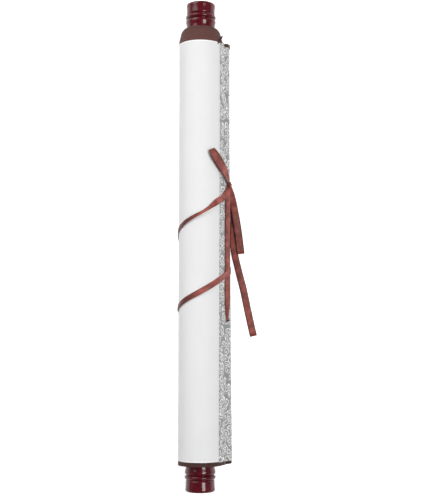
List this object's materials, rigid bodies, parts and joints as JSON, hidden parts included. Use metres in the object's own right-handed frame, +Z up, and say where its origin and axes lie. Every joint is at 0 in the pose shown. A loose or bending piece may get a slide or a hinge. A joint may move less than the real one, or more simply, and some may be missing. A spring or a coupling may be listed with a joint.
{
  "type": "rolled hanging scroll",
  "caption": "Hanging scroll rolled up on its roller, with turned lacquered knobs, a damask-covered stave, eyelets, a hanging ribbon and a wound tie ribbon.",
  "frame": {"origin": "on the surface that the scroll lies on, under the middle of its rigid pieces", "axes": "+Y along the roll, +X from the roll towards the stave, +Z up"},
  "size_m": [0.086, 0.5304, 0.0476],
  "materials": {
    "lacquer": "gloss",
    "bare_wood": "satin",
    "mounting_paper": "matte",
    "binding_silk": "matte",
    "damask": "satin",
    "ribbon_satin": "satin",
    "black_wire": "satin"
  },
  "bodies": {
    "root": {"roller": "bare_wood", "paper_roll": "mounting_paper", "lower_edge_binding": "binding_silk", "upper_edge_binding": "binding_silk", "upper_knob": "lacquer", "lower_knob": "lacquer", "stave": "bare_wood", "stave_cover": "damask", "upper_eyelet": "black_wire", "lower_eyelet": "black_wire", "hanging_ribbon": "ribbon_satin", "tie_ribbon": "ribbon_satin"}
  },
  "joints": []
}
